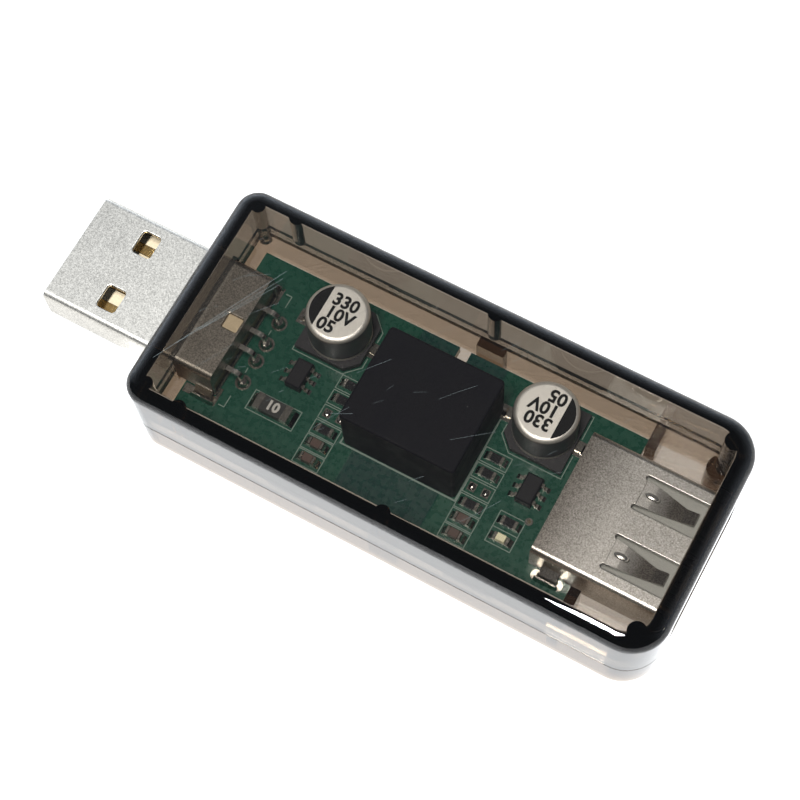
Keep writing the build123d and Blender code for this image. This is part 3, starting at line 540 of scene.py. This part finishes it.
def can_print():
    """Rating numbers and the black sign segment on the capacitor tops."""
    top = CAN_TOP + 0.006
    for n, (c, side) in enumerate(zip(cans, (1, -1))):
        turn = 0.0 if side > 0 else math.pi
        rows = (("330", 0.30, 1.15), ("10V", 0.40, -0.3), ("05", -0.35, -1.70))
        for i, (text, across, up) in enumerate(rows):
            lettering(f"can_print_{n}_{i}", text, c.x + side * across, c.y + side * up, top, 1.3,
                      turn, ink_black)
        bm = bmesh.new()
        r = CAN_R - 0.42
        half = math.acos(1.5 / r)
        steps = 24
        rim = [math.pi - half + 2 * half * i / steps for i in range(steps + 1)]
        rings = [[bm.verts.new((c.x + side * r * math.cos(a), c.y + side * r * math.sin(a), z))
                  for a in rim] for z in (top - 0.004, top + 0.004)]
        bm.faces.new(rings[1])
        bm.faces.new(rings[0][::-1])
        for i in range(steps + 1):
            j = (i + 1) % (steps + 1)
            bm.faces.new((rings[0][i], rings[0][j], rings[1][j], rings[1][i]))
        piece(f"can_mark_{n}", bm, ink_black)


SCRATCH_SUNK, SCRATCH_THICK = 0.001, 0.003
SHORT_SCRATCHES = 48


def cover_scratches():
    """Fine hairlines in the top of the cover: three long ones over the back of the plug, and
    short ones all over, most of them in one direction."""
    bm = bmesh.new()
    top = case_high.z
    for i in range(3):
        at = Vector((plug_high.x + 0.6 * i - 1.0, 0.7 * i - 1.2))
        along = Vector((math.cos(math.radians(64 - 2 * i)), math.sin(math.radians(64 - 2 * i))))
        half = 7.4 - 1.6 * i
        strip(bm, [at - along * half, at + along * half], 0.02, top - SCRATCH_SUNK,
              SCRATCH_THICK)
    for _ in range(SHORT_SCRATCHES):
        x = rng.uniform(case_low.x + 3, case_high.x - 3)
        y = rng.uniform(case_low.y + 2.5, case_high.y - 2.5)
        turn = math.radians(rng.gauss(50, 9))
        half = rng.uniform(0.15, 0.7) if rng.random() < 0.7 else rng.uniform(0.8, 2.2)
        bow = rng.uniform(-0.04, 0.04) * half
        along = Vector((math.cos(turn), math.sin(turn)))
        off = Vector((-along.y, along.x)) * bow
        at = Vector((x, y))
        strip(bm, [at - along * half, at + off, at + along * half], rng.uniform(0.006, 0.013),
              top - SCRATCH_SUNK, SCRATCH_THICK)
    piece("cover_scratches", bm, moulded("scratch_haze", (0.14, 0.17, 0.17), 0.6))


silkscreen()
bare_solder()
spring_dimples()
can_print()
cover_scratches()
fuse_at = middle(box_mm("fuse_body"))
lettering("fuse_print", "10", fuse_at.x, fuse_at.y, box_mm("fuse_body")[1].z + 0.004, 1.0, 0.0,
          moulded("fuse_ink", (0.5, 0.5, 0.48), 0.5))


# ---- floor, light, camera -------------------------------------------------------------------
FLOOR_RADIUS = 1500
GLOW_FADES = (32.5, 34.5)        # distance from the middle along x
GLOW_UNDER, GLOW_BEYOND = 1.6, 1.0


def floor_look():
    """Pale floor that glows under the case, and less beyond its ends."""
    k = Look("floor", (0.12, 0.12, 0.12), roughness=0.7, Specular_IOR_Level=0.1)
    k.link(k.shades(k.noise(60, 2), 0.01), "Base Color")
    k.set(Emission_Color=(0.97, 0.985, 1, 1))
    k.link(k.ranged(k.math("ABSOLUTE", k.axis("X")), *GLOW_FADES, GLOW_UNDER, GLOW_BEYOND),
           "Emission Strength")
    return k.mat


bm = bmesh.new()
bmesh.ops.create_circle(bm, cap_ends=True, segments=96, radius=FLOOR_RADIUS)
floor_mesh = bpy.data.meshes.new("floor")
bm.to_mesh(floor_mesh)
bm.free()
floor_mesh.transform(Matrix.Scale(MM, 4))
floor_mesh.materials.append(floor_look())
floor = add_object("floor", floor_mesh)


def aim(obj, target):
    """Turn an object so that it looks at a point, in metres."""
    way = Vector(target) - obj.location
    obj.rotation_euler = way.to_track_quat("-Z", "Y").to_euler()


def softbox(name, azimuth, elevation, distance, width, height, brightness, colour=(1, 1, 1)):
    """An area light round the object. Azimuth 0 is in front (-Y), 90 on the right (+X)."""
    a, e = math.radians(azimuth), math.radians(elevation)
    data = bpy.data.lights.new(name, "AREA")
    data.shape = "RECTANGLE"
    data.size, data.size_y = width, height
    data.energy = brightness * math.pi * width * height
    data.color = colour
    obj = add_object(name, data)
    obj.location = distance * Vector((math.sin(a) * math.cos(e), -math.cos(a) * math.cos(e),
                                      math.sin(e)))
    aim(obj, (0, 0, 0.005))


softbox("top", -4, 77, 0.9, 0.075, 0.38, 190.0, (0.95, 0.975, 1.0))
softbox("right", 98, 17, 0.8, 0.05, 0.03, 30.0, (1.0, 0.93, 0.72))

# dim room with a pale backdrop low down behind the object, stronger on the left
SKY_TOP, SKY_BACK = 0.16, 2.5
world = bpy.data.worlds.new("studio")
world.use_nodes = True
sky = world.node_tree
glow = sky.nodes["Background"]
glow.inputs["Color"].default_value = (0.80, 0.88, 1.0, 1)
way = sky.nodes.new("ShaderNodeSeparateXYZ")
sky.links.new(sky.nodes.new("ShaderNodeTexCoord").outputs["Generated"], way.inputs[0])
strength = None
for axis, near, far, at_near, at_far in (
        ("Z", 0.05, 0.92, SKY_BACK, 0.0), ("Y", -0.3, 0.3, 0.0, 1.0), ("X", -0.6, 0.4, 1.0, 0.3)):
    share = sky.nodes.new("ShaderNodeMapRange")
    sky.links.new(way.outputs[axis], share.inputs[0])
    for i, value in enumerate((near, far, at_near, at_far)):
        share.inputs[i + 1].default_value = value
    if strength is None:
        strength = share.outputs[0]
        continue
    both = sky.nodes.new("ShaderNodeMath")
    both.operation = "MULTIPLY"
    sky.links.new(strength, both.inputs[0])
    sky.links.new(share.outputs[0], both.inputs[1])
    strength = both.outputs[0]
total = sky.nodes.new("ShaderNodeMath")
total.inputs[1].default_value = SKY_TOP
sky.links.new(strength, total.inputs[0])
sky.links.new(total.outputs[0], glow.inputs["Strength"])
scene = bpy.context.scene
scene.world = world
scene.view_settings.view_transform = "Standard"
scene.cycles.max_bounces = 16
scene.cycles.transmission_bounces = 14
scene.cycles.transparent_max_bounces = 32
scene.cycles.caustics_reflective = False

AZIMUTH, ELEVATION, ROLL = (math.radians(d) for d in (34.08, 68.57, -5.64))
AIM, DISTANCE = Vector((-4.88, 1.07, 7.0)) * MM, 172.59 * MM
back = Vector((math.sin(AZIMUTH) * math.cos(ELEVATION), -math.cos(AZIMUTH) * math.cos(ELEVATION),
               math.sin(ELEVATION)))
level = Vector((math.cos(AZIMUTH), math.sin(AZIMUTH), 0))
across = math.cos(ROLL) * level + math.sin(ROLL) * back.cross(level)
camera_data = bpy.data.cameras.new("camera")
camera_data.sensor_width = 36
camera_data.lens = 82.45
camera_data.clip_start = 0.01
camera = add_object("camera", camera_data)
camera.matrix_world = Matrix.Translation(AIM + back * DISTANCE) @ Matrix(
    (across, back.cross(across), back)).transposed().to_4x4()
scene.camera = camera
